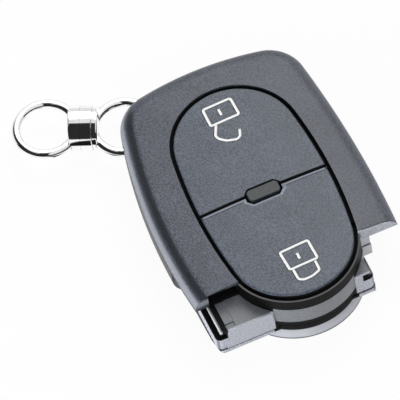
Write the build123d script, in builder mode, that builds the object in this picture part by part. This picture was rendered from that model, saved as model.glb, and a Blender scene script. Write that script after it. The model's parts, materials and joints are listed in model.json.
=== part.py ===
from build123d import *
import os
from math import atan2, cos, radians, sin, sqrt

# Two-button car remote with a double ring swivel, in millimetres.
# X runs across the face, Y from the blade-head end to the rounded end, Z out of the button face.
# The origin lies on the flat back, under the middle of the button oval.

os.makedirs("parts", exist_ok=True)

# Layers from the flat back to the button face
tub_floor = 1.2
cell_thickness = 3.2
cell_headroom = 0.9
board_thickness = 0.8
board_headroom = 2.3
mat_thickness = 0.5
button_seat = 0.45
button_height = 2.25
crown_radius = 165.0

# Outline of the shell, seen from above: bowed sides, a bowed far end and two large corners
middle_half_width = 18.35
near_narrowing = 0.05
far_narrowing = 2.95
near_shift = -0.45
middle_shift = -0.6
far_shift = 0.25
near_edge_y = -14.3
middle_y = 6.65
far_corner_y = 26.65
far_corner_slant = 0.35
far_edge_y = 28.5
far_corner_radius = 6.7

# Top cover
cover_depth = 4.0
flank_share = 0.75
cover_wall = 1.5
roof_thickness = 1.7
cavity_round = 1.6
right_end_depth = 2.9
left_lug_width = 2.45
left_lug_depth = 3.2
roof_edge_thickness = 0.25
roof_edge_slope = 1.3
roof_edge_end_x = -8.0

# Button oval, four tangent arcs
oval_half_width = 11.3
oval_half_length = 21.65
oval_end_radius = 10.5
button_groove = 0.7

# Buttons
button_split_y = 0.25
button_split_gap = 0.3
button_edge_round = 0.25
split_bevel_width = 0.6
split_bevel_drop = 0.3
button_roof = 1.4
button_wall = 1.0
flange_reach = 1.0
flange_thickness = 0.35
flange_near_y = -11.0

# Window bar between the buttons
window_length = 5.6
window_width = 2.3
window_corner = 0.45
window_edge_round = 0.15
window_proud = 0.12
window_gap = 0.4
window_foot_length = 6.8
window_foot_width = 3.4
window_foot_thickness = 0.7
window_stem_length = 3.0
window_stem_width = 1.8

# Rubber mat
mat_reach = 0.95
mat_hole_fit = 0.1
mat_clearance = 0.15
lip_depth = 0.85
lip_thickness = 0.3
lip_end_gap = 0.15
skirt_far_y = -12.4
dome_radius = 3.4
dome_top_radius = 2.8
dome_height = 0.4

# Places of the two switches, measured from the middle of the oval
switch_y = 10.8

# Centre frame, its blocks and the round housing for the cell
seam_gap = 0.4
block_front_y = -20.0
left_block_setback = 1.15
right_block_setback = 7.05
right_shoulder_width = 2.5
right_shoulder_y = -11.8
block_corner_radius = 1.0
frame_fit = 0.25
frame_wall = 1.2
frame_floor = 1.0
housing_undercut_height = 1.25
housing_undercut_depth = 0.55
floor_near_y = 1.8

# Slide grooves of the blocks, and the rim above them
rim_height = 0.65
groove_height = 1.4
groove_depth = 1.9
groove_far_y = -7.0
groove_end_wall = 0.2
rim_setback = 0.75
rim_thickness = 0.45
channel_width = 0.95
channel_depth = 0.35
strip_width = 1.6
strip_drop = 0.15
pad_proud = 0.2
pad_top_width = 7.2
pad_foot_width = 9.2
pad_x = -11.4

# Rear cover
plate_height = 2.5
plate_proud = 0.1
seam_step = 0.5
seam_rib_root = 0.3
tub_end_y = -5.3
tub_wall = 1.5
tub_seam_height = 0.15
tub_seam_depth = 0.6
tub_inner_round = 2.4
back_round = 5.0
front_round = 2.4

# Coin cell
cell_y = -11.0
cell_radius = 10.0
cell_cap_radius = 8.8
cell_cap_height = 0.35
cell_edge_round = 0.4
cell_fit = 0.2
cell_ledge_gap = 0.5
cell_ledge_radius = 9.0

# Board
board_inset = 0.65
board_fit = 0.25

# Contacts of the cell
leaf_thickness = 0.2
leaf_width = 3.0
leaf_fit = 0.2
leaf_seat_reach = 6.0
leaf_bend_reach = 2.0
leaf_tip_reach = 3.0
leaf_foot_length = 1.0

# Parts on the board
push_switch_size = 4.5
push_switch_height = 1.45
push_switch_bore_depth = 0.95
plunger_radius = 1.1
plunger_depth = 0.4
plunger_fit = 0.05
plunger_gap = 0.05
led_size = (2.0, 1.25, 0.75)
chip_size = (5.0, 4.4, 0.9)
chip_place = (-5.4, 4.2)
can_size = (4.8, 3.6, 1.2)
can_place = (5.3, 4.2)
coil_size = (7.2, 2.6, 1.6)
coil_place = (-6.0, -4.6)

# Ring, pin and slot of the rear cover
ring_plane = 3.95
ring_mean_radius = 5.0
wire_radius = 0.85
pin_inset = 2.69
pin_setback = 2.29
pin_radius = 1.0
pin_foot = 2.1
pin_to_ring = 3.0
pin_outward_angle = 126.87
ring_swing = 20.0
slot_side_fit = 0.35
slot_height = 2.2
slot_block_depth = 4.4

# Swivel between the rings
chain_direction = 154.65
ring_spacing = 13.06
swivel_shift = -0.15
sleeve_radius = 3.85
sleeve_bore = 3.0
sleeve_inner_lip = 0.8
sleeve_outer_lip = 0.35
sleeve_edge_round = 0.12
head_fit = 0.05
head_gap = 0.05
head_flange_radius = 3.2
head_flange_length = 0.3
head_flange_fit = 0.05
head_cap_gap = 0.03
inner_cap_radius = 3.7
inner_cap_length = 0.95
outer_cap_length = 2.0
cap_edge_round = 0.3
ring_hole_fit = 0.07

# Places that follow from the sizes above
cell_top = tub_floor + cell_thickness
board_foot = cell_top + cell_headroom
board_top = board_foot + board_thickness
mat_underside = board_top + board_headroom
mat_top = mat_underside + mat_thickness
button_underside = mat_top + button_seat
crown_height = button_underside + button_height
cover_foot_height = crown_height - cover_depth
flank_radius = flank_share * cover_depth
roof_underside = crown_height - roof_thickness
right_end_foot = crown_height - right_end_depth
lip_top = crown_height - lip_depth
block_height = cover_foot_height
frame_foot = plate_height + seam_gap
groove_foot = block_height - rim_height - groove_height
cell_ledge_foot = cell_top + cell_ledge_gap
near_half_width = middle_half_width - near_narrowing
far_half_width = middle_half_width - far_narrowing
near_left_x = near_shift - near_half_width
near_right_x = near_shift + near_half_width
far_left_x = far_shift - far_half_width
far_left_y = far_corner_y + far_corner_slant
left_side = ThreePointArc(
    (near_left_x, near_edge_y),
    (middle_shift - middle_half_width, middle_y),
    (far_left_x, far_left_y),
)
right_side = ThreePointArc(
    (near_right_x, near_edge_y),
    (middle_shift + middle_half_width, middle_y),
    (far_shift + far_half_width, far_corner_y - far_corner_slant),
)
far_side = ThreePointArc(left_side @ 1, (0, far_edge_y), right_side @ 1)
left_block_x = near_left_x + left_block_setback
right_block_x = near_right_x - right_block_setback
right_shoulder_x = right_block_x + right_shoulder_width
oval_arc_reach = oval_half_length - oval_end_radius
oval_spread = oval_half_width - oval_end_radius
oval_side_radius = (oval_half_width**2 + oval_arc_reach**2 - oval_end_radius**2) / (2 * oval_spread)
oval_arc_turn = atan2(oval_arc_reach, oval_side_radius - oval_half_width)
housing_radius = oval_end_radius + mat_reach
mouth_left_x = near_left_x + left_lug_width
pin_x = far_left_x + pin_inset
pin_y = far_left_y - pin_setback
ring_x = pin_x + pin_to_ring * cos(radians(pin_outward_angle))
ring_y = pin_y + pin_to_ring * sin(radians(pin_outward_angle))
chain_x = cos(radians(chain_direction))
chain_y = sin(radians(chain_direction))
barrel_x = ring_x + chain_x * ring_spacing / 2
barrel_y = ring_y + chain_y * ring_spacing / 2
outer_ring_x = ring_x + chain_x * ring_spacing
outer_ring_y = ring_y + chain_y * ring_spacing


def across(near_y, far_y):
    """Band across the whole fob between two places on Y"""
    with BuildSketch() as band:
        with Locations((0, (near_y + far_y) / 2)):
            Rectangle(80, far_y - near_y)
    return band.sketch


def shell_outline(inset=0.0, near_y=near_edge_y):
    """Outline of the shell from a place on Y to the far end: three large arcs and two round corners"""
    with BuildSketch() as outline:
        add(across(near_y + inset, far_edge_y + far_corner_radius))
        for side in (left_side, right_side, far_side):
            with Locations(side.arc_center):
                Circle(side.radius - inset, mode=Mode.INTERSECT)
        fillet(outline.vertices().sort_by(Axis.Y)[-2:], far_corner_radius - inset)
    return outline.sketch


def block_outline():
    """Outline of the two blocks at the near end, with the shoulder on the right"""
    with BuildSketch() as outline:
        with BuildLine():
            Polyline(
                (left_block_x, tub_end_y),
                (left_block_x, block_front_y),
                (right_block_x, block_front_y),
                (right_block_x, right_shoulder_y),
                (right_shoulder_x, right_shoulder_y),
                (right_shoulder_x, tub_end_y),
                close=True,
            )
        make_face()
        fillet(outline.vertices().group_by(Axis.Y)[0], block_corner_radius)
    return outline.sketch


def lower_outline(inset=0.0):
    """Outline of the near end: two blocks, the round cell housing and the shoulder on the right"""
    with BuildSketch() as outline:
        add(block_outline())
        with Locations((0, -oval_arc_reach)):
            Circle(housing_radius)
        if inset:
            offset(amount=-inset, kind=Kind.INTERSECTION)
    return outline.sketch


def oval(grow=0.0):
    """Button oval, or a line parallel to it"""
    end_radius = oval_end_radius + grow
    joint_x = end_radius * cos(oval_arc_turn)
    joint_y = oval_arc_reach + end_radius * sin(oval_arc_turn)
    end_y = oval_arc_reach + end_radius
    side_x = oval_half_width + grow
    with BuildSketch() as face:
        with BuildLine():
            ThreePointArc((joint_x, joint_y), (0, end_y), (-joint_x, joint_y))
            ThreePointArc((-joint_x, joint_y), (-side_x, 0), (-joint_x, -joint_y))
            ThreePointArc((-joint_x, -joint_y), (0, -end_y), (joint_x, -joint_y))
            ThreePointArc((joint_x, -joint_y), (side_x, 0), (joint_x, joint_y))
        make_face()
    return face.sketch


def box_between(left, right, near, far, foot, top):
    """Block between six planes"""
    centre = ((left + right) / 2, (near + far) / 2, (foot + top) / 2)
    return Pos(*centre) * Box(right - left, far - near, top - foot, mode=Mode.PRIVATE)


def beyond_pin(start):
    """Half plane on the outer side of the ring pin, from a distance measured along the ring's heading"""
    with BuildSketch() as half:
        with Locations(Location((pin_x, pin_y, 0), (0, 0, pin_outward_angle))):
            with Locations((start + 20, 0)):
                Rectangle(40, 80)
    return half.sketch


def crown_section(top=crown_height):
    """Cross-section under the crowned top face, on the XZ plane"""
    half = 30.0
    edge = top - crown_radius + sqrt(crown_radius**2 - half**2)
    with BuildSketch(Plane.XZ) as section:
        with BuildLine():
            ThreePointArc((-half, edge), (0, top), (half, edge))
            Polyline((half, edge), (half, -1), (-half, -1), (-half, edge))
        make_face()
    return section.sketch


# Top cover: crowned block with rolled flanks, hollow below and open at the near end
with BuildPart() as cover_cavity:
    with BuildSketch(Plane.XY.offset(cover_foot_height - 1)):
        add(shell_outline(cover_wall))
    extrude(amount=roof_underside - cover_foot_height + 1)
    fillet(cover_cavity.edges().group_by(Axis.Z)[-1], cavity_round)

with BuildPart() as top_cover:
    with BuildSketch(Plane.XY.offset(cover_foot_height)):
        add(shell_outline())
    extrude(amount=crown_height)
    extrude(crown_section(), amount=60, both=True, mode=Mode.INTERSECT)
    rim = top_cover.faces().sort_by(Axis.Z)[-1].edges()
    fillet(rim.filter_by(lambda e: e.center().Y > near_edge_y + 0.01), flank_radius)
    add(cover_cavity.part, mode=Mode.SUBTRACT)
    # mouth between the left lug and the right end wall
    mouth_depth = cover_wall + cavity_round
    add(
        box_between(
            mouth_left_x,
            right_block_x,
            near_edge_y - 1,
            near_edge_y + mouth_depth,
            cover_foot_height - 1,
            roof_underside,
        ),
        mode=Mode.SUBTRACT,
    )
    # lug that thickens the end of the left flank
    with BuildSketch(Plane.XY.offset(cover_foot_height)):
        add(shell_outline(cover_wall / 2))
        with Locations((mouth_left_x - left_lug_width / 2, near_edge_y + left_lug_depth / 2)):
            Rectangle(left_lug_width, left_lug_depth, mode=Mode.INTERSECT)
    extrude(amount=roof_underside - cover_foot_height)
    # the right flank stops higher, over the space for the blade head
    add(
        box_between(
            right_block_x,
            near_right_x + 1,
            near_edge_y - 1,
            tub_end_y,
            cover_foot_height - 1,
            right_end_foot,
        ),
        mode=Mode.SUBTRACT,
    )
    # undercut that brings the roof to a thin edge left of the well
    roof_edge_top = crown_height - crown_radius + sqrt(crown_radius**2 - mouth_left_x**2)
    with BuildSketch(Plane.YZ.offset(mouth_left_x)):
        with BuildLine():
            Polyline(
                (near_edge_y - 1, roof_underside - 1),
                (near_edge_y + roof_edge_slope, roof_underside - 0.01),
                (near_edge_y, roof_edge_top - roof_edge_thickness),
                (near_edge_y - 1, roof_edge_top - roof_edge_thickness),
                close=True,
            )
        make_face()
    extrude(amount=roof_edge_end_x - mouth_left_x, mode=Mode.SUBTRACT)
    # well of the buttons, wider below the roof for the mat
    with BuildSketch(Plane.XY.offset(roof_underside - 1)):
        add(oval(button_groove))
    extrude(amount=crown_height, mode=Mode.SUBTRACT)
    with BuildSketch(Plane.XY.offset(cover_foot_height - 1)):
        add(oval(mat_reach + mat_clearance))
    extrude(amount=roof_underside - cover_foot_height + 1, mode=Mode.SUBTRACT)
top_cover.part.label = "top_cover"
export_step(top_cover.part, "parts/top_cover.step")


# Buttons: two halves of the oval, each with a notch for the window bar
def button_half(label, near_y, far_y, dome_y, bevelled):
    """Crowned cap, hollow below, with a flange that stays under the cover"""
    notch_length = window_length + 2 * window_gap
    notch_width = window_width + 2 * window_gap
    with BuildPart() as button:
        with BuildSketch(Plane.XY.offset(button_underside)):
            add(oval())
            add(across(near_y, far_y), mode=Mode.INTERSECT)
            with BuildSketch(mode=Mode.SUBTRACT) as notch:
                Rectangle(notch_length, notch_width)
                chamfer(notch.vertices(), window_corner + window_gap)
        extrude(amount=crown_height)
        extrude(crown_section(), amount=60, both=True, mode=Mode.INTERSECT)
        top = button.faces().sort_by(Axis.Z)[-1]
        split_edges = top.edges().filter_by(lambda e: abs(e.center().Y) < 2.5)
        if bevelled:
            chamfer(split_edges, split_bevel_width, split_bevel_drop, reference=top)
            top = button.faces().sort_by(Axis.Z)[-1]
        fillet(top.edges().filter_by(lambda e: abs(e.center().Y) > 2.5), button_edge_round)
        # hollow underside, with a full boss over the dome of the mat
        with BuildSketch(Plane.XY.offset(button_underside)):
            add(oval(-button_wall))
            add(across(near_y + button_wall, far_y - button_wall), mode=Mode.INTERSECT)
            Rectangle(
                notch_length + 2 * button_wall,
                notch_width + 2 * button_wall,
                mode=Mode.SUBTRACT,
            )
            with Locations((0, dome_y)):
                Circle(dome_radius, mode=Mode.SUBTRACT)
        extrude(amount=crown_height - button_roof - button_underside, mode=Mode.SUBTRACT)
        # flange
        with BuildSketch(Plane.XY.offset(button_underside)):
            add(oval(flange_reach))
            add(across(max(near_y, flange_near_y), far_y), mode=Mode.INTERSECT)
            add(oval(-button_wall / 2), mode=Mode.SUBTRACT)
        extrude(amount=flange_thickness)
    button.part.label = label
    export_step(button.part, "parts/" + label + ".step")


oval_past = oval_half_length + 2
button_half("unlock_button", button_split_y + button_split_gap / 2, oval_past, switch_y, False)
button_half("lock_button", -oval_past, button_split_y - button_split_gap / 2, -switch_y, True)

# Window bar: light guide that stands on the lamp, held by its foot under the mat
with BuildPart() as led_window:
    with BuildSketch(Plane.XY.offset(board_top + led_size[2])):
        Rectangle(window_stem_length, window_stem_width)
    extrude(amount=mat_underside - board_top - led_size[2])
    with BuildSketch(Plane.XY.offset(mat_underside - window_foot_thickness)):
        Rectangle(window_foot_length, window_foot_width)
    extrude(amount=window_foot_thickness)
    with BuildSketch(Plane.XY.offset(mat_underside)) as bar_face:
        Rectangle(window_length, window_width)
        chamfer(bar_face.vertices(), window_corner)
    extrude(amount=crown_height + window_proud - mat_underside)
    fillet(led_window.faces().sort_by(Axis.Z)[-1].edges(), window_edge_round)
led_window.part.label = "led_window"
export_step(led_window.part, "parts/led_window.step")

# Rubber mat: plate with two domes, and the lip that stands round the near end of the well
with BuildPart() as keypad_mat:
    with BuildSketch(Plane.XY.offset(mat_underside)):
        add(oval(mat_reach))
        Rectangle(window_length + 2 * mat_hole_fit, window_width + 2 * mat_hole_fit, mode=Mode.SUBTRACT)
    extrude(amount=mat_thickness)
    for dome_y in (switch_y, -switch_y):
        with BuildSketch(Plane.XY.offset(mat_top)):
            with Locations((0, dome_y)):
                Circle(dome_radius)
        with BuildSketch(Plane.XY.offset(mat_top + dome_height)):
            with Locations((0, dome_y)):
                Circle(dome_top_radius)
        loft()
    # lip in front of the cover's edge
    with BuildSketch(Plane.XY.offset(mat_underside)):
        add(oval(mat_reach))
        add(oval(mat_reach - lip_thickness), mode=Mode.SUBTRACT)
        add(across(-oval_past, near_edge_y - lip_end_gap), mode=Mode.INTERSECT)
    extrude(amount=lip_top - mat_underside)
    # skirt that hangs to the blocks on both sides of the housing
    with BuildSketch(Plane.XY.offset(block_height)):
        add(oval(mat_reach))
        add(oval(mat_reach - lip_thickness), mode=Mode.SUBTRACT)
        add(across(block_front_y, skirt_far_y), mode=Mode.INTERSECT)
    extrude(amount=mat_underside - block_height)
keypad_mat.part.label = "keypad_mat"
export_step(keypad_mat.part, "parts/keypad_mat.step")

# Centre frame: blocks with slide grooves, round housing, seat of the board and pocket of the cell
with BuildPart() as centre_frame:
    with BuildSketch(Plane.XY.offset(frame_foot)):
        add(lower_outline())
    extrude(amount=block_height - frame_foot)
    with BuildSketch(Plane.XY.offset(frame_foot)):
        add(shell_outline(tub_wall + frame_fit))
        add(across(tub_end_y, far_edge_y), mode=Mode.INTERSECT)
        add(beyond_pin(-slot_block_depth - frame_fit), mode=Mode.SUBTRACT)
    extrude(amount=block_height - frame_foot)
    # wall under the edge of the mat, and the front of the housing
    with BuildSketch(Plane.XY.offset(frame_foot)):
        add(oval(mat_reach - lip_thickness - 0.05))
    extrude(amount=mat_underside - frame_foot)
    with BuildSketch(Plane.XY.offset(frame_foot)):
        add(oval(mat_reach))
        add(across(-oval_past, block_front_y), mode=Mode.INTERSECT)
    extrude(amount=mat_underside - frame_foot)
    # seat of the board
    with BuildSketch(Plane.XY.offset(board_foot)):
        add(oval(board_fit - board_inset))
    extrude(amount=mat_underside, mode=Mode.SUBTRACT)
    # pocket of the cell, closed by a ledge under the board
    with BuildSketch(Plane.XY.offset(frame_foot - 1)):
        with Locations((0, cell_y)):
            Circle(cell_radius + cell_fit)
    extrude(amount=cell_ledge_foot - frame_foot + 1, mode=Mode.SUBTRACT)
    with BuildSketch(Plane.XY.offset(frame_foot)):
        with Locations((0, cell_y)):
            Circle(cell_ledge_radius)
    extrude(amount=board_foot - frame_foot, mode=Mode.SUBTRACT)
    # hollows below the far half, under the board and beside it
    with BuildSketch(Plane.XY.offset(frame_foot - 1)):
        add(shell_outline(tub_wall + frame_fit + frame_wall))
        add(across(floor_near_y, far_edge_y), mode=Mode.INTERSECT)
        add(beyond_pin(-slot_block_depth - frame_fit - frame_wall), mode=Mode.SUBTRACT)
    extrude(amount=board_foot - frame_floor - frame_foot + 1, mode=Mode.SUBTRACT)
    with BuildSketch(Plane.XY.offset(frame_foot)):
        add(shell_outline(tub_wall + frame_fit + frame_wall))
        add(across(floor_near_y, far_edge_y), mode=Mode.INTERSECT)
        add(beyond_pin(-slot_block_depth - frame_fit - frame_wall), mode=Mode.SUBTRACT)
        add(oval(mat_reach), mode=Mode.SUBTRACT)
    extrude(amount=block_height - frame_wall - frame_foot, mode=Mode.SUBTRACT)
    # undercut below the round wall
    with BuildSketch(Plane.XY.offset(frame_foot - 1)):
        with Locations((0, -oval_arc_reach)):
            Circle(housing_radius + 1)
            Circle(housing_radius - housing_undercut_depth, mode=Mode.SUBTRACT)
        add(across(-oval_past, block_front_y), mode=Mode.INTERSECT)
    extrude(amount=1 + housing_undercut_height, mode=Mode.SUBTRACT)
    # slide grooves, open at the front, and the rim set back above each
    for side_x in (left_block_x, right_block_x):
        with BuildSketch(Plane.XY.offset(groove_foot)):
            with Locations((side_x, (block_front_y - 1 + groove_far_y) / 2)):
                Rectangle(2 * groove_depth, groove_far_y - block_front_y + 1)
            add(oval(mat_reach + groove_end_wall), mode=Mode.SUBTRACT)
        extrude(amount=groove_height, mode=Mode.SUBTRACT)
        with BuildSketch(Plane.XY.offset(groove_foot + groove_height)):
            with Locations((side_x, (block_front_y - 1 + groove_far_y) / 2)):
                Rectangle(2 * rim_setback, groove_far_y - block_front_y + 1)
            add(oval(mat_reach + groove_end_wall), mode=Mode.SUBTRACT)
        extrude(amount=block_height, mode=Mode.SUBTRACT)
    # channel behind the rim of the left block, and the shallow strip beside it
    channel_x = left_block_x + rim_setback + rim_thickness
    channel_y = block_front_y + rim_thickness
    strip_x = channel_x + channel_width
    add(
        box_between(channel_x, strip_x, channel_y, groove_far_y, block_height - channel_depth, mat_underside),
        mode=Mode.SUBTRACT,
    )
    add(
        box_between(
            channel_x,
            strip_x + strip_width,
            channel_y,
            channel_y + channel_width,
            block_height - channel_depth,
            mat_underside,
        ),
        mode=Mode.SUBTRACT,
    )
    add(
        box_between(
            strip_x,
            strip_x + strip_width,
            channel_y,
            groove_far_y,
            block_height - strip_drop,
            mat_underside,
        ),
        mode=Mode.SUBTRACT,
    )
    # raised pad on the front of the left block
    with BuildSketch(Plane.XZ.offset(-block_front_y)):
        with BuildLine():
            Polyline(
                (pad_x - pad_foot_width / 2, frame_foot),
                (pad_x + pad_foot_width / 2, frame_foot),
                (pad_x + pad_top_width / 2, block_height),
                (pad_x - pad_top_width / 2, block_height),
                close=True,
            )
        make_face()
    extrude(amount=pad_proud)
    # notch for the side contact of the cell
    notch_half = leaf_width / 2 + leaf_fit
    cell_far_y = cell_y + cell_radius
    add(
        box_between(
            -notch_half,
            notch_half,
            cell_far_y - leaf_fit,
            cell_far_y + leaf_thickness + leaf_fit,
            frame_foot - 1,
            board_foot,
        ),
        mode=Mode.SUBTRACT,
    )
    add(
        box_between(
            -notch_half,
            notch_half,
            cell_far_y - leaf_fit,
            floor_near_y + leaf_fit,
            board_foot - leaf_thickness,
            board_foot,
        ),
        mode=Mode.SUBTRACT,
    )
centre_frame.part.label = "centre_frame"
export_step(centre_frame.part, "parts/centre_frame.step")

# Rear cover: tub under the top cover, plate under the near end, and the corner that carries the ring
with BuildPart() as tub_hollow:
    with BuildSketch(Plane.XY.offset(tub_floor)):
        add(shell_outline(tub_wall))
        add(beyond_pin(-slot_block_depth), mode=Mode.SUBTRACT)
    extrude(amount=cover_foot_height)
    fillet(tub_hollow.edges().group_by(Axis.Z)[0], tub_inner_round)
    with BuildSketch(Plane.XY.offset(tub_floor)):
        add(across(near_edge_y - 1, tub_end_y))
    extrude(amount=cover_foot_height, mode=Mode.SUBTRACT)

with BuildPart() as near_plate:
    with BuildSketch():
        add(block_outline())
        offset(amount=plate_proud, kind=Kind.INTERSECTION)
    extrude(amount=plate_height)
    # front edge rounded under the blocks and round the housing
    front_y = block_front_y - plate_proud
    with BuildSketch(Plane.YZ) as side_face:
        with Locations((front_y / 2, plate_height / 2)):
            Rectangle(-front_y, plate_height)
        fillet(side_face.vertices().group_by(Axis.Y)[0].sort_by(Axis.Z)[0], front_round)
    extrude(amount=40, both=True, mode=Mode.INTERSECT)
    plate_radius = housing_radius + plate_proud
    with BuildSketch(Plane.XZ.offset(oval_arc_reach)) as round_face:
        with Locations((plate_radius / 2, plate_height / 2)):
            Rectangle(plate_radius, plate_height)
        fillet(round_face.vertices().group_by(Axis.X)[-1].sort_by(Axis.Z)[0], front_round)
    revolve(axis=Axis((0, -oval_arc_reach, 0), (0, 0, 1)))

with BuildPart() as near_waste:
    with BuildSketch(Plane.XY.offset(-1)):
        add(across(-oval_past - 1, tub_end_y))
    extrude(amount=cover_foot_height + 2)
    add(near_plate.part, mode=Mode.SUBTRACT)

with BuildPart() as rear_cover:
    with BuildSketch():
        add(shell_outline(near_y=-oval_past))
    extrude(amount=cover_foot_height)
    foot_edges = rear_cover.faces().sort_by(Axis.Z)[0].edges()
    fillet(foot_edges.filter_by(lambda e: e.center().Y > 0.01 - oval_past), back_round)
    add(near_waste.part, mode=Mode.SUBTRACT)
    add(tub_hollow.part, mode=Mode.SUBTRACT)
    # seam line under the top cover
    with BuildSketch(Plane.XY.offset(cover_foot_height - tub_seam_height)):
        add(shell_outline(-1))
        add(shell_outline(tub_seam_depth), mode=Mode.SUBTRACT)
    extrude(amount=tub_seam_height, mode=Mode.SUBTRACT)
    # rib under the frame, round the pocket of the cell
    with BuildSketch(Plane.XY.offset(plate_height - seam_rib_root)):
        add(lower_outline(seam_step))
    extrude(amount=frame_foot - plate_height + seam_rib_root)
    with BuildSketch(Plane.XY.offset(tub_floor)):
        with Locations((0, -oval_arc_reach)):
            Circle(housing_radius - seam_step)
    extrude(amount=frame_foot - tub_floor)
    with BuildSketch(Plane.XY.offset(tub_floor)):
        with Locations((0, cell_y)):
            Circle(cell_radius + cell_fit)
    extrude(amount=frame_foot, mode=Mode.SUBTRACT)
    # slot in which the ring swings, and the hole of its pin
    turn = radians(ring_swing)
    slot_x = pin_x + pin_to_ring * cos(turn) * cos(radians(pin_outward_angle))
    slot_y = pin_y + pin_to_ring * cos(turn) * sin(radians(pin_outward_angle))
    with BuildSketch(Plane.XY.offset(ring_plane - slot_height / 2)):
        with Locations((slot_x, slot_y)):
            SlotCenterToCenter(
                2 * pin_to_ring * sin(turn),
                2 * (ring_mean_radius + wire_radius + slot_side_fit),
                rotation=pin_outward_angle + 90,
            )
    extrude(amount=slot_height, mode=Mode.SUBTRACT)
    with BuildSketch(Plane.XY.offset(pin_foot)):
        with Locations((pin_x, pin_y)):
            Circle(pin_radius)
    extrude(amount=cover_foot_height, mode=Mode.SUBTRACT)
rear_cover.part.label = "rear_cover"
export_step(rear_cover.part, "parts/rear_cover.step")

# Coin cell: can with a smaller cap on top
with BuildPart() as coin_cell:
    with BuildSketch(Plane.XY.offset(tub_floor)):
        with Locations((0, cell_y)):
            Circle(cell_radius)
    extrude(amount=cell_thickness - cell_cap_height)
    fillet(coin_cell.edges().filter_by(GeomType.CIRCLE), cell_edge_round)
    with BuildSketch(Plane.XY.offset(cell_top - cell_cap_height)):
        with Locations((0, cell_y)):
            Circle(cell_cap_radius)
    extrude(amount=cell_cap_height)
coin_cell.part.label = "coin_cell"
export_step(coin_cell.part, "parts/coin_cell.step")

# Circuit board
with BuildPart() as circuit_board:
    with BuildSketch(Plane.XY.offset(board_foot)):
        add(oval(-board_inset))
    extrude(amount=board_thickness)
circuit_board.part.label = "circuit_board"
export_step(circuit_board.part, "parts/circuit_board.step")


# Contacts of the cell: bent strips, drawn from the side
def bent_strip(label, *points):
    """Strip of even thickness along a bent line in the YZ plane"""
    with BuildPart() as strip:
        with BuildSketch(Plane.YZ):
            with BuildLine():
                Polyline(*points, close=True)
            make_face()
        extrude(amount=leaf_width / 2, both=True)
    strip.part.label = label
    export_step(strip.part, "parts/" + label + ".step")


leaf_seat_y = cell_y + leaf_seat_reach
leaf_bend_y = cell_y + leaf_bend_reach
leaf_tip_y = cell_y - leaf_tip_reach
bent_strip(
    "cell_contact_top",
    (leaf_seat_y, board_foot),
    (leaf_bend_y, board_foot),
    (leaf_tip_y, cell_top + leaf_thickness),
    (leaf_tip_y - leaf_foot_length, cell_top + leaf_thickness),
    (leaf_tip_y - leaf_foot_length, cell_top),
    (leaf_tip_y, cell_top),
    (leaf_bend_y, board_foot - leaf_thickness),
    (leaf_seat_y, board_foot - leaf_thickness),
)
bent_strip(
    "cell_contact_side",
    (cell_far_y, frame_foot),
    (cell_far_y + leaf_thickness, frame_foot),
    (cell_far_y + leaf_thickness, board_foot - leaf_thickness),
    (floor_near_y, board_foot - leaf_thickness),
    (floor_near_y, board_foot),
    (cell_far_y, board_foot),
)

# Push switches on the board, each with the plunger that the button drives
for label, place_y in (("unlock", switch_y), ("lock", -switch_y)):
    with BuildPart() as push_switch:
        with BuildSketch(Plane.XY.offset(board_top)) as switch_face:
            with Locations((0, place_y)):
                Rectangle(push_switch_size, push_switch_size)
            chamfer(switch_face.vertices(), push_switch_size / 10)
        extrude(amount=push_switch_height)
        with BuildSketch(Plane.XY.offset(board_top + push_switch_height)):
            with Locations((0, place_y)):
                Circle(plunger_radius + plunger_fit)
        extrude(amount=-push_switch_bore_depth, mode=Mode.SUBTRACT)
    push_switch.part.label = label + "_switch"
    export_step(push_switch.part, "parts/" + label + "_switch.step")
    with BuildPart() as plunger:
        with BuildSketch(Plane.XY.offset(board_top + push_switch_height - plunger_depth)):
            with Locations((0, place_y)):
                Circle(plunger_radius)
        extrude(amount=mat_underside - plunger_gap - board_top - push_switch_height + plunger_depth)
    plunger.part.label = label + "_plunger"
    export_step(plunger.part, "parts/" + label + "_plunger.step")


# Blocks on the board: lamp, chip, resonator and antenna coil
def board_block(label, place, size):
    """Rectangular part that stands on the board"""
    with BuildPart() as block:
        with BuildSketch(Plane.XY.offset(board_top)):
            with Locations(place):
                Rectangle(size[0], size[1])
        extrude(amount=size[2])
    block.part.label = label
    export_step(block.part, "parts/" + label + ".step")


board_block("indicator_led", (0, 0), led_size)
board_block("control_chip", chip_place, chip_size)
board_block("resonator_can", can_place, can_size)
board_block("antenna_coil", coil_place, coil_size)

# Pin in the corner of the rear cover
with BuildPart() as ring_pin:
    with BuildSketch(Plane.XY.offset(pin_foot)):
        with Locations((pin_x, pin_y)):
            Circle(pin_radius)
    extrude(amount=cover_foot_height - pin_foot)
ring_pin.part.label = "ring_pin"
export_step(ring_pin.part, "parts/ring_pin.step")

# Two equal rings of round wire
for label, place in (("inner_ring", (ring_x, ring_y)), ("outer_ring", (outer_ring_x, outer_ring_y))):
    with BuildPart() as ring:
        with Locations((place[0], place[1], ring_plane)):
            Torus(ring_mean_radius, wire_radius)
    ring.part.label = label
    export_step(ring.part, "parts/" + label + ".step")

# Swivel: places are measured along the line between the rings, outward from its middle
swivel_plane = Plane(origin=(barrel_x, barrel_y, ring_plane), x_dir=(chain_x, chain_y, 0), z_dir=(0, 0, 1))
swivel_axis = Axis((barrel_x, barrel_y, ring_plane), (chain_x, chain_y, 0))
flange_groove_half = head_gap + head_flange_length + head_flange_fit
flange_groove_radius = head_flange_radius + head_flange_fit
groove_start = swivel_shift - flange_groove_half
groove_end = swivel_shift + flange_groove_half
sleeve_start = groove_start - sleeve_inner_lip
sleeve_end = groove_end + sleeve_outer_lip

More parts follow.
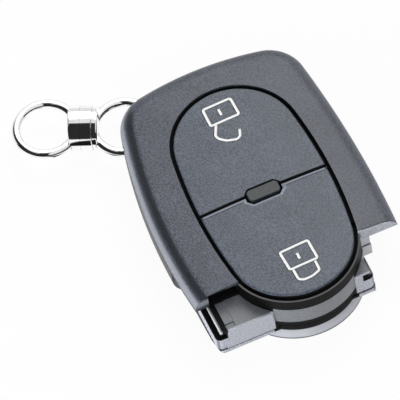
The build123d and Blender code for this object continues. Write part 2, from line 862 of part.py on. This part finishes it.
# Sleeve with a groove inside for the flanges of both heads
with BuildPart() as swivel_sleeve:
    with BuildSketch(swivel_plane):
        with BuildLine():
            Polyline(
                (sleeve_start, sleeve_radius),
                (sleeve_start, sleeve_bore),
                (groove_start, sleeve_bore),
                (groove_start, flange_groove_radius),
                (groove_end, flange_groove_radius),
                (groove_end, sleeve_bore),
                (sleeve_end, sleeve_bore),
                (sleeve_end, sleeve_radius),
                close=True,
            )
        make_face()
    revolve(axis=swivel_axis)
    rims = swivel_sleeve.edges().filter_by(lambda e: e.geom_type == GeomType.CIRCLE)
    inner_rim = rims.filter_by(lambda e: e.radius > sleeve_radius - 0.01).sort_by(swivel_axis)[0]
    fillet(inner_rim, sleeve_edge_round)
swivel_sleeve.part.label = "swivel_sleeve"
export_step(swivel_sleeve.part, "parts/swivel_sleeve.step")

# Heads of the swivel: a flange and a neck inside the sleeve, and a cap with a curved eye for the ring
neck_radius = sleeve_bore - head_fit
for label, side, neck_end, cap_radius, cap_length, eye in (
    ("swivel_head_inner", -1, sleeve_start, inner_cap_radius, inner_cap_length, (ring_x, ring_y)),
    ("swivel_head_outer", 1, sleeve_end, sleeve_radius, outer_cap_length, (outer_ring_x, outer_ring_y)),
):
    flange_start = swivel_shift + side * head_gap
    flange_end = flange_start + side * head_flange_length
    cap_start = neck_end + side * head_cap_gap
    cap_end = cap_start + side * cap_length
    with BuildPart() as head:
        with BuildSketch(swivel_plane):
            with BuildLine():
                Polyline(
                    (flange_start, 0),
                    (flange_start, head_flange_radius),
                    (flange_end, head_flange_radius),
                    (flange_end, neck_radius),
                    (cap_start, neck_radius),
                    (cap_start, cap_radius),
                    (cap_end, cap_radius),
                    (cap_end, 0),
                    close=True,
                )
            make_face()
        revolve(axis=swivel_axis)
        end_rim = head.edges().sort_by(swivel_axis)[-1 if side > 0 else 0]
        fillet(end_rim, cap_edge_round)
        with Locations((eye[0], eye[1], ring_plane)):
            Torus(ring_mean_radius, wire_radius + ring_hole_fit, mode=Mode.SUBTRACT)
    head.part.label = label
    export_step(head.part, "parts/" + label + ".step")
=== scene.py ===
import json
from math import pi, radians, sqrt

import bmesh
import bpy
from mathutils import Matrix, Vector


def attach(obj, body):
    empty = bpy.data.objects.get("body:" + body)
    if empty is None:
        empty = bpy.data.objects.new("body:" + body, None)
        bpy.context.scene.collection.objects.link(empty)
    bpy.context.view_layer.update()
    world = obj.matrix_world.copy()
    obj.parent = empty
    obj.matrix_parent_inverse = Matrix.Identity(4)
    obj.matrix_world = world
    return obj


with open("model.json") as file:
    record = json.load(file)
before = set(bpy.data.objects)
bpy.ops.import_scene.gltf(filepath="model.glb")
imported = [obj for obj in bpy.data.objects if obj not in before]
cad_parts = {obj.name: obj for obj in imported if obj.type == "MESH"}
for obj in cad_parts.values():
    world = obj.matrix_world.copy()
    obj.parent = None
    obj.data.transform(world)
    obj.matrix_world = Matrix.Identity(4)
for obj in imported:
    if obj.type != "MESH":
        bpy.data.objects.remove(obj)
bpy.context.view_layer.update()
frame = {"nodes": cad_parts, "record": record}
nodes = frame["nodes"]
MM = 0.001


# Top cover
# One injection moulding in dark grey ABS with an even spark-eroded grain. Its crowned face rolls
# over at the sides, down to the seam with the rear cover, and its near end is cut short.
class Wire:
    """A socket of a material's node tree, on which Python's operators add Math nodes"""

    def __init__(self, tree, socket=None):
        self.tree = tree
        self.socket = socket

    def node(self, kind, settings=None, inputs=None, output=0):
        """Adds a node: its settings first, then the values or links of its sockets"""
        made = self.tree.nodes.new(kind)
        for name, value in (settings or {}).items():
            setattr(made, name, value)
        for name, value in (inputs or {}).items():
            if isinstance(value, Wire):
                self.tree.links.new(value.socket, made.inputs[name])
            else:
                made.inputs[name].default_value = value
        return Wire(self.tree, made.outputs[output])

    def maths(self, operation, first, second):
        return self.node("ShaderNodeMath", {"operation": operation}, {0: first, 1: second})

    def __add__(self, other):
        return self.maths("ADD", self, other)

    def __sub__(self, other):
        return self.maths("SUBTRACT", self, other)

    def __mul__(self, other):
        return self.maths("MULTIPLY", self, other)

    def __pow__(self, other):
        return self.maths("POWER", self, other)

    def __radd__(self, other):
        return self.maths("ADD", other, self)

    def __rsub__(self, other):
        return self.maths("SUBTRACT", other, self)

    def __abs__(self):
        return self.maths("ABSOLUTE", self, 0.0)

    def ramp(self, low, high, start=0.0, end=1.0):
        """start below low, end above high, and a soft step between them"""
        return self.node(
            "ShaderNodeMapRange",
            {"interpolation_type": "SMOOTHSTEP"},
            {"Value": self, "From Min": low, "From Max": high, "To Min": start, "To Max": end},
        )

    def fall(self, low, high):
        """1 below low, 0 above high, and a soft step between them"""
        return self.ramp(low, high, 1.0, 0.0)

    def blend(self, first, second):
        """Colour that goes from first to second as this socket goes from 0 to 1"""
        factor, colour_a, colour_b, result = 0, 6, 7, 2
        return self.node(
            "ShaderNodeMix",
            {"data_type": "RGBA"},
            {factor: self, colour_a: first, colour_b: second},
            output=result,
        )

    def split(self):
        """The x, y and z of a vector"""
        parts = self.tree.nodes.new("ShaderNodeSeparateXYZ")
        self.tree.links.new(self.socket, parts.inputs[0])
        return [Wire(self.tree, parts.outputs[axis]) for axis in "XYZ"]


def rgb(red, green, blue):
    """Colour as it is read on a screen, from 0 to 255, turned into scene-linear values"""
    levels = [level / 255 for level in (red, green, blue)]
    return (*[v / 12.92 if v < 0.04045 else ((v + 0.055) / 1.055) ** 2.4 for v in levels], 1.0)


def shader_of(material):
    return material.node_tree.nodes["Principled BSDF"]


def begin(name):
    """New material with its shader: returns both, and a wire to add nodes with"""
    material = bpy.data.materials.new(name)
    material.use_nodes = True
    return material, shader_of(material), Wire(material.node_tree)


def link(wire, shader, socket):
    """Feeds a socket of the shader"""
    wire.tree.links.new(wire.socket, shader.inputs[socket])


def dress(material, *names):
    """Gives CAD nodes their finish"""
    for name in names:
        mesh = nodes[name].data
        mesh.materials.clear()
        mesh.materials.append(material)


def places(wire):
    """The x, y and z of the CAD's frame, in millimetres"""
    return [axis * (1 / MM) for axis in wire.node("ShaderNodeTexCoord", output="Object").split()]


def noise(wire, scale, detail, **more):
    """Noise over the piece, whose spots are about 1 / scale metres across"""
    place = wire.node("ShaderNodeTexCoord", output="Object")
    return wire.node(
        "ShaderNodeTexNoise", inputs={"Vector": place, "Scale": scale, "Detail": detail, **more}
    )


def grain_and_painted_light(wire):
    """Eroded grain of the end faces, painted light grey as lit, with darker and lighter specks"""
    return noise(wire, 5200.0, 2.0).ramp(0.3, 0.7).blend(rgb(136, 140, 150), rgb(196, 199, 210))


def recolour(material, colour, region):
    """Another colour over the base colour in a region, a mask worked out from x, y and z"""
    shader = shader_of(material)
    wire = Wire(material.node_tree)
    base = Wire(wire.tree, shader.inputs["Base Color"].links[0].from_socket)
    colour = colour(wire) if callable(colour) else colour
    link(region(*places(wire)).blend(base, colour), shader, "Base Color")


def paint_shade(material, region):
    """Painted shade: near-black and dull in a region, for the gaps and slots where shade falls"""
    recolour(material, shade_black, region)
    shader = shader_of(material)
    wire = Wire(material.node_tree)
    rough = Wire(wire.tree, shader.inputs["Roughness"].links[0].from_socket)
    link(rough + (1.0 - rough) * region(*places(wire)), shader, "Roughness")


def moulded(name, dark, light, relief=0.5, roughness=0.42, gloss=0.5):
    """Moulded plastic: a fine even grain, cloudy tone and small differences in gloss"""
    material, shader, wire = begin(name)
    grain = 0.26 * MM
    fine = noise(wire, 1 / grain, 3.0, Roughness=0.6)
    cloud = noise(wire, 160.0, 4.0)
    tone = fine.ramp(0.34, 0.66) * 0.85 + cloud.ramp(0.3, 0.7) * 0.15
    link(tone.blend(dark, light), shader, "Base Color")
    link(fine.ramp(0.3, 0.7, roughness - 0.05, roughness + 0.05), shader, "Roughness")
    bump = wire.node(
        "ShaderNodeBump", inputs={"Strength": relief, "Distance": 0.25 * grain, "Height": fine}
    )
    link(bump, shader, "Normal")
    shader.inputs["Specular IOR Level"].default_value = gloss
    return material


# Millimetres: the top of the crown and its radius, the centres of the well's end arcs and their
# radius, and the plane of the cover's near end
crown_height, crown_radius = 11.6, 165.0
arc_centre, well_radius = 11.15, 12.3
cover_end = -14.3
# Near-black of the painted shade in gaps and slots
shade_black = rgb(13, 13, 14)


def depth(x, z):
    """How far a place lies below the crowned face"""
    return crown_height - x * x * (0.5 / crown_radius) - z


def radius(x, y):
    """How far a place lies from x = 0, y = 0"""
    return (x * x + y * y) ** 0.5


def below_face(x, y, z):
    """Lower than the crowned face by more than the rounding of its edges"""
    return depth(x, z).ramp(0.38, 0.5)


def well_wall_shade(x, y, z):
    """Painted shade on the walls of the well of the buttons, below its edge"""
    past_centre = x.maths("MAXIMUM", abs(y) - arc_centre, 0.0)
    inside = radius(x, past_centre).fall(well_radius, well_radius + 0.1)
    return below_face(x, y, z) * inside * y.ramp(cover_end + 0.01, cover_end + 0.05)


def lit_end_face(x, y, z):
    """Near end, right of the round housing, painted lighter as lit"""
    return y.fall(cover_end + 0.05, cover_end + 0.15) * x.ramp(9.8, 10.0)


def end_edge_shade(x, y, z):
    """Painted shade along the top of the near end"""
    along = y.ramp(cover_end + 0.01, cover_end + 0.04) * y.fall(cover_end + 0.16, cover_end + 0.24)
    return along * x.ramp(11.4, 11.6) * 0.85


def left_flank(x):
    """Left side, from where it leaves the crown"""
    return x.fall(-13.6, -12.6)


def flank_start(x, y, z):
    """Where the left side begins to roll over, which is in shade"""
    return left_flank(x) * depth(x, z).ramp(0.0, 0.08) * depth(x, z).fall(0.3, 0.9) * 0.85


def flank_highlight(x, y, z):
    """Painted highlight in a band half way down the left side"""
    return left_flank(x) * depth(x, z).ramp(0.6, 1.2) * depth(x, z).fall(1.9, 2.4) * 0.7


def flank_foot_shade(x, y, z):
    """Painted shade on the upright foot of the left side, above the seam"""
    return left_flank(x) * depth(x, z).ramp(2.4, 2.8) * 0.8


cover_plastic = moulded("cover_plastic", rgb(34, 39, 47), rgb(94, 99, 112))
recolour(cover_plastic, rgb(20, 23, 27), flank_start)
recolour(cover_plastic, rgb(150, 154, 163), flank_highlight)
recolour(cover_plastic, rgb(34, 36, 40), flank_foot_shade)
recolour(cover_plastic, grain_and_painted_light, lit_end_face)
paint_shade(cover_plastic, well_wall_shade)
paint_shade(cover_plastic, end_edge_shade)
dress(cover_plastic, "top_cover")


# Buttons
# Two halves of one oval in the same ABS, moulded a touch bluer than the cover. Each presses on
# its dome of the mat below. The near one has a bevel along the split, painted with a highlight.
def bevel_highlight(x, y, z):
    """Painted highlight: near button's bevel along the split and round the window's notch"""
    along = y.ramp(-2.4, -2.3) * y.fall(0.12, 0.16) * abs(x).fall(10.9, 11.0)
    return along * depth(x, z).ramp(0.02, 0.05) * depth(x, z).fall(0.3, 0.34)


def split_shade_lines(x, y, z):
    """Painted shade: lip of the far button along the split, foot of the near one's bevel"""
    lip = y.ramp(0.2, 0.3) * y.fall(0.52, 0.56)
    foot = y.ramp(-0.64, -0.58) * y.fall(-0.5, -0.44) * abs(x).ramp(3.9, 4.0)
    return x.maths("MAXIMUM", lip, foot * 0.8)


button_plastic = moulded("button_plastic", rgb(34, 40, 49), rgb(97, 106, 121))
# Painted shade on the sides of the buttons, below the face
paint_shade(button_plastic, below_face)
recolour(button_plastic, rgb(152, 158, 170), bevel_highlight)
paint_shade(button_plastic, split_shade_lines)
dress(button_plastic, "unlock_button", "lock_button")


# Signs on the buttons
# Engraved lines filled with white paint: an open padlock on the far button, a closed one on the
# near button. A dark line of painted shade is left round the paint where the groove is wider.
def rounded(points, closed):
    """Two points on each side of a corner, so that a smooth line keeps straight sides"""
    step = 0.2
    corners = [Vector(point) for point in points]
    count = len(corners)
    out = []
    for index, here in enumerate(corners):
        if not closed and index in (0, count - 1):
            out.append(tuple(here))
            continue
        before = (corners[index - 1] - here).normalized() * step
        after = (corners[(index + 1) % count] - here).normalized() * step
        out += [tuple(here + move) for move in (before * 2, before, after, after * 2)]
    return out


def stroke(name, strokes, body, material, width, rise, thickness):
    """Rounded lines that follow the crowned face: one curve with a bevel, flattened and laid on"""
    line = bpy.data.curves.new(name, "CURVE")
    line.dimensions = "3D"
    line.bevel_depth = width / 2 * MM
    line.bevel_resolution = 3
    line.resolution_u = 6
    line.use_fill_caps = True
    for closed, corners in strokes:
        points = rounded(corners, closed)
        spline = line.splines.new("NURBS")
        spline.points.add(len(points) - 1)
        for point, (x, y) in zip(spline.points, points):
            point.co = (x * MM, y * MM, 0, 1)
        spline.use_cyclic_u = closed
        spline.order_u = 3
        spline.use_endpoint_u = not closed
    drawn = bpy.data.objects.new(name + "_line", line)
    bpy.context.scene.collection.objects.link(drawn)
    mesh = bpy.data.meshes.new_from_object(drawn)
    bpy.data.objects.remove(drawn)
    shape = bmesh.new()
    shape.from_mesh(mesh)
    bmesh.ops.remove_doubles(shape, verts=shape.verts, dist=0.001 * MM)
    for vert in shape.verts:
        x, y, z = vert.co
        face = (crown_height - crown_radius) * MM + sqrt((crown_radius * MM) ** 2 - x * x)
        vert.co.z = face + rise * MM + z * thickness / width
    shape.to_mesh(mesh)
    shape.free()
    for polygon in mesh.polygons:
        polygon.use_smooth = True
    mesh.name = name
    mesh.materials.append(material)
    piece = bpy.data.objects.new(name, mesh)
    bpy.context.scene.collection.objects.link(piece)
    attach(piece, body)


paint, shader, wire = begin("sign_paint")
speck = noise(wire, 2600.0, 3.0)
link(speck.ramp(0.35, 0.65).blend(rgb(244, 245, 246), rgb(254, 254, 254)), shader, "Base Color")
link(speck.ramp(0.3, 0.7, 0.4, 0.6), shader, "Roughness")
# Painted shade of the grooves round the paint
groove_shade = moulded("sign_groove_shade", rgb(14, 15, 17), rgb(26, 27, 30), relief=0.2)

# Case, keyhole and shackle of each padlock: whether the line is closed, and its corners
unlock_sign = [
    (True, [(-2.62, 19.3), (2.40, 19.42), (2.50, 15.86), (-2.66, 15.72)]),
    (False, [(-0.25, 18.25), (-0.22, 17.6), (-0.21, 16.95)]),
    (False, [
        (-1.82, 15.5), (-2.74, 13.6), (-2.55, 12.9), (-1.43, 11.9),
        (0.2, 11.4), (0.93, 11.75), (1.38, 13.03),
    ]),
]
lock_sign = [
    (True, [(-2.45, -12.45), (2.66, -12.2), (2.78, -16.15), (-2.22, -16.28)]),
    (False, [(0.07, -13.8), (0.08, -14.4), (0.08, -15.0)]),
    (False, [
        (-1.76, -16.5), (-1.72, -18.6), (-0.83, -19.1),
        (0.59, -19.06), (2.14, -18.48), (2.16, -16.5),
    ]),
]
joints = frame["record"]["behaviour"]["joints"]
for name, body, strokes in (
    ("unlock_sign", joints[0]["child"], unlock_sign),
    ("lock_sign", joints[1]["child"], lock_sign),
):
    groove = name + "_groove"
    stroke(groove, strokes, body, groove_shade, width=0.86, rise=-0.02, thickness=0.08)
    stroke(name, strokes, body, paint, width=0.47, rise=0.0, thickness=0.14)

# Window bar
# Smoked light guide between the buttons, over the lamp on the board. It is darker than the
# buttons and a little smoother.
window_smoke = moulded(
    "window_smoke", rgb(26, 30, 33), rgb(58, 64, 68), relief=0.25, roughness=0.38, gloss=0.4
)
dress(window_smoke, "led_window")


# Rubber mat
# Black silicone under both buttons, with a lip that stands round the near end of the oval.
# The top of the lip is painted grey as a highlight.
def lip_highlight(x, y, z):
    """Painted highlight on the top of the lip, the highest part of the mat"""
    return z.ramp(10.68, 10.72)


mat_rubber = moulded(
    "mat_rubber", rgb(4, 4, 4), rgb(11, 10, 10), relief=0.3, roughness=0.6, gloss=0.12
)
recolour(mat_rubber, rgb(92, 92, 94), lip_highlight)
dress(mat_rubber, "keypad_mat")

# Centre frame
# Moulding between the cover and the rear cover, with the round housing and the blade head's slide
# grooves. It is smooth except for the speckled fronts of its blocks, painted lighter as lit.
# Millimetres: where the blocks begin beside the housing, their tops, and the grooves' limits
housing_side = 7.3
block_top = 6.9
groove_floor, groove_roof = 5.5, 7.2


def lit_block_fronts(x, y, z):
    """Fronts of both blocks, and the outer wall below the left groove, painted lighter as lit"""
    front = y.fall(-19.9, -19.8) * abs(x).ramp(housing_side, housing_side + 0.1)
    outer_wall = x.fall(-17.55, -17.45) * z.fall(groove_floor - 0.1, groove_floor)
    return x.maths("MAXIMUM", front, outer_wall)


def grooves(x, y, z):
    """Painted shade in both slide grooves, seen as slots in the sides of the blocks"""
    from_middle = abs(x + 3.4)
    slot = from_middle.ramp(12.1, 12.2) * from_middle.fall(14.1, 14.15)
    above_floor = slot * z.ramp(groove_floor - 0.05, groove_floor)
    lit_floor = x.ramp(10.0, 10.1) * y.ramp(-19.3, -19.1)
    return above_floor * z.fall(groove_roof - 0.05, groove_roof) * (1.0 - lit_floor)


def channel(x, y, z):
    """Painted shade in the narrow channel behind the rim of the left block"""
    return z.ramp(block_top, block_top + 0.1) * x.ramp(-16.42, -16.4) * x.fall(-15.45, -15.4)


def shade_under_cover(x, y, z):
    """Painted shade on the top of the blocks where they run in under the cover"""
    return z.ramp(block_top, block_top + 0.1) * y.ramp(-14.5, -14.1)


def undercut_shade(x, y, z):
    """Painted shade on the foot of the round housing, set back above the seam"""
    out = radius(x, y + arc_centre)
    between = abs(x).fall(housing_side, housing_side + 0.1) * y.fall(-15.0, -14.0)
    return z.fall(4.8, 4.9) * out.fall(11.7, 11.8) * between


def rim_highlight(x, y, z):
    """Painted highlight along the top edge of the left rim"""
    return z.ramp(7.45, 7.5) * x.ramp(-16.95, -16.9) * x.fall(-16.68, -16.62)


def lit_shoulder_end(x, y, z):
    """End face of the right shoulder, painted lighter as lit"""
    return y.fall(-11.75, -11.7) * x.ramp(10.9, 11.0)


frame_plastic = moulded(
    "frame_plastic", rgb(96, 99, 104), rgb(118, 122, 128), relief=0.3, roughness=0.36
)
recolour(frame_plastic, grain_and_painted_light, lit_block_fronts)
recolour(frame_plastic, rgb(196, 199, 206), lit_shoulder_end)
recolour(frame_plastic, rgb(226, 228, 232), rim_highlight)
# Painted shade in the grooves, the channel, under the cover and at the housing's foot
for region in (grooves, channel, shade_under_cover, undercut_shade):
    paint_shade(frame_plastic, region)
dress(frame_plastic, "centre_frame")

# Rear cover
# Lower half of the shell, a shallow tub of the same plastic as the cover. Its far left corner
# holds the ring, and a plate of it reaches out under the round housing.
# Millimetres: where the plate ends at its sides, and how high its front is
plate_side = 7.6
plate_edge = 1.6


def lit_corner_fronts(x, y, z):
    """Fronts on both sides of the plate, painted lighter as lit"""
    return y.fall(-20.0, -19.9) * abs(x).ramp(plate_side, plate_side + 0.1)


def plate_shade(x, y, z):
    """Upper part of the plate, in the shade of the housing"""
    wide = y.fall(-19.0, -18.0) * abs(x).fall(plate_side, plate_side + 0.1)
    return wide * z.ramp(plate_edge, plate_edge + 0.2)


def seam_shade(x, y, z):
    """Top of the tub's wall, in the shade of the cover"""
    return y.ramp(-6.0, -5.4) * z.ramp(4.6, 5.4)


def lit_plate_front(x, y, z):
    """Lower front of the plate, painted lighter as lit"""
    return y.fall(-19.0, -18.5) * z.ramp(0.2, 0.4) * z.fall(plate_edge, plate_edge + 0.2)


rear_plastic = moulded("rear_plastic", rgb(58, 61, 67), rgb(92, 96, 104))
recolour(rear_plastic, grain_and_painted_light, lit_corner_fronts)
paint_shade(rear_plastic, plate_shade)
recolour(rear_plastic, rgb(22, 23, 25), seam_shade)
recolour(rear_plastic, rgb(186, 189, 196), lit_plate_front)
recolour(rear_plastic, rgb(214, 216, 221), lit_shoulder_end)
dress(rear_plastic, "rear_cover")

# Rings, pin and swivel
# Rings of steel wire, a steel pin in the corner and a swivel turned from brass, all plated with
# nickel and chromium and polished bright.
chrome, shader, wire = begin("bright_chrome")
haze = noise(wire, 420.0, 4.0)
link(haze.ramp(0.3, 0.7).blend(rgb(243, 243, 244), rgb(252, 252, 252)), shader, "Base Color")
link(haze.ramp(0.3, 0.7, 0.03, 0.08), shader, "Roughness")
shader.inputs["Metallic"].default_value = 1.0
dress(chrome, "inner_ring", "outer_ring", "ring_pin")
dress(chrome, "swivel_sleeve", "swivel_head_inner", "swivel_head_outer")

# Coin cell, board and what stands on it
# Out of sight inside the shell: a green laminate board with black chips, coil and switches, a
# coin cell, can and spring contacts of bright steel, and white plungers and lamp.
cell_steel = moulded("cell_steel", rgb(150, 150, 148), rgb(185, 185, 183), roughness=0.3)
shader_of(cell_steel).inputs["Metallic"].default_value = 1.0
dress(cell_steel, "coin_cell", "resonator_can", "cell_contact_top", "cell_contact_side")
board_green = moulded("board_green", rgb(22, 66, 38), rgb(34, 88, 52), roughness=0.35)
dress(board_green, "circuit_board")
chip_black = moulded("chip_black", rgb(24, 24, 25), rgb(40, 40, 42), roughness=0.5)
dress(chip_black, "control_chip", "antenna_coil", "unlock_switch", "lock_switch")
plunger_white = moulded("plunger_white", rgb(205, 205, 200), rgb(228, 228, 224), roughness=0.5)
dress(plunger_white, "unlock_plunger", "lock_plunger", "indicator_led")

# Studio
# White table and a white tent, open to a dark room in front and to the left, which gives the
# chrome its dark reflections. The lamps are soft and stand above, low on the left and in front.
# Millimetres: the swivel's joint and the middle of its barrel. Then the way the barrel points,
# how black the dark room is, and how bright the camera sees the background
joint_x, joint_y = -20.2, 29.9
barrel_x, barrel_y = -20.7, 30.1
way_x, way_y = -0.904, 0.428
room_black = 0.97
backdrop_white = 1.24


def emptied(owner):
    """Node tree of a material or the world, without the nodes that it comes with"""
    owner.use_nodes = True
    owner.node_tree.nodes.clear()
    return owner.node_tree


def rays(tree):
    """Whether a ray comes straight from the camera, and whether it is a reflection"""
    path = tree.nodes.new("ShaderNodeLightPath")
    return [Wire(tree, path.outputs[name]) for name in ("Is Camera Ray", "Is Glossy Ray")]


# The table. Its material has a dark patch in front of the barrel that only reflections see
table = bpy.data.materials.new("table_white")
tree = emptied(table)
wire = Wire(tree)
camera_ray, glossy_ray = rays(tree)
x, y = places(wire)[:2]
in_front = (x - joint_x) * -way_y + (y - joint_y) * way_x
along = abs((x - barrel_x) * way_x + (y - barrel_y) * way_y)
patch = in_front.ramp(8.6, 9.4) * along.fall(2.8, 3.6) * glossy_ray
matte = wire.node("ShaderNodeBsdfDiffuse", inputs={"Color": (0.93, 0.93, 0.93, 1)})
white = patch.blend((1, 1, 1, 1), (0.01, 0.01, 0.01, 1))
clean = wire.node("ShaderNodeEmission", inputs={"Color": white, "Strength": 1.0})
share = camera_ray * 0.94 + glossy_ray
shown = wire.node("ShaderNodeMixShader", inputs={0: share, 1: matte, 2: clean})
tree.links.new(shown.socket, tree.nodes.new("ShaderNodeOutputMaterial").inputs["Surface"])
ground = bmesh.new()
bmesh.ops.create_circle(ground, cap_ends=True, segments=96, radius=6.0)
mesh = bpy.data.meshes.new("table_top")
ground.to_mesh(mesh)
ground.free()
mesh.materials.append(table)
table_top = bpy.data.objects.new("table_top", mesh)
bpy.context.scene.collection.objects.link(table_top)

# The tent: where reflections find it dark, how it lights dull surfaces, and what the camera sees
world = bpy.data.worlds.new("light_tent")
bpy.context.scene.world = world
tree = emptied(world)
wire = Wire(tree)
camera_ray, glossy_ray = rays(tree)
dx, dy, dz = wire.node("ShaderNodeTexCoord", output="Generated").split()
frontward = dx * -0.43 + dy * -0.9
along = dx * way_x + dy * way_y - 0.1
room = frontward.ramp(-0.02, 0.12) * dz.fall(0.45, 0.55)
strip = frontward.ramp(0.1, 0.16) * abs(along).fall(0.12, 0.16)
far_left = (dx * -1.0).ramp(0.15, 0.35) * dz.ramp(0.25, 0.4) * dz.fall(0.86, 0.95)
dark = wire.maths("MAXIMUM", wire.maths("MAXIMUM", room, strip), far_left)
tent = 1.0 - dark * room_black
ambient = 0.1 + (dx * 0.75 + dz * 0.4).ramp(-0.5, 0.8) * 0.62
unseen = glossy_ray * tent + (1.0 - glossy_ray) * ambient
strength = camera_ray * backdrop_white + (1.0 - camera_ray) * unseen
background = tree.nodes.new("ShaderNodeBackground")
tree.links.new(strength.socket, background.inputs["Strength"])
tree.links.new(background.outputs[0], tree.nodes.new("ShaderNodeOutputWorld").inputs["Surface"])


def softbox(name, toward, distance, size, radiance, seen=True):
    """Square soft lamp that looks at the fob from a direction, seen in reflections or not"""
    fob_middle = Vector((-0.004, 0.005, 0.006))
    lamp = bpy.data.lights.new(name, "AREA")
    lamp.shape = "SQUARE"
    lamp.size = size
    lamp.energy = radiance * pi * size * size
    light = bpy.data.objects.new(name, lamp)
    bpy.context.scene.collection.objects.link(light)
    heading = Vector(toward).normalized()
    light.location = fob_middle + heading * distance
    light.rotation_euler = heading.to_track_quat("Z", "Y").to_euler()
    light.visible_glossy = seen


softbox("overhead_softbox", (0.34, 0.48, 0.81), 0.6, 0.45, 2.9)
softbox("low_left_softbox", (-1.0, -0.15, 0.06), 0.5, 0.3, 14.0, seen=False)
softbox("front_fill", (-0.3, -1.0, 0.22), 0.6, 0.4, 2.7, seen=False)

# The camera, at the photograph's viewing angle: from 3 m away the frame is 65.898 mm wide
sensor_width, distance, frame_width = 36.0, 3.0, 65.898 * MM
bearing, tilt, roll = radians(-15), radians(34), radians(-10)
looks_at = Vector((-10.10, 2.99, 11.79)) * MM
camera = bpy.data.cameras.new("camera")
camera.sensor_width = sensor_width
camera.lens = sensor_width * distance / frame_width
camera.clip_end = 20.0
viewer = bpy.data.objects.new("camera", camera)
bpy.context.scene.collection.objects.link(viewer)
bpy.context.scene.camera = viewer
turn = (
    Matrix.Rotation(bearing, 3, "Z")
    @ Matrix.Rotation(tilt, 3, "X")
    @ Matrix.Rotation(roll, 3, "Z")
)
viewer.rotation_euler = turn.to_euler()
viewer.location = looks_at + turn @ Vector((0, 0, distance))

bpy.context.scene.view_settings.view_transform = "Standard"
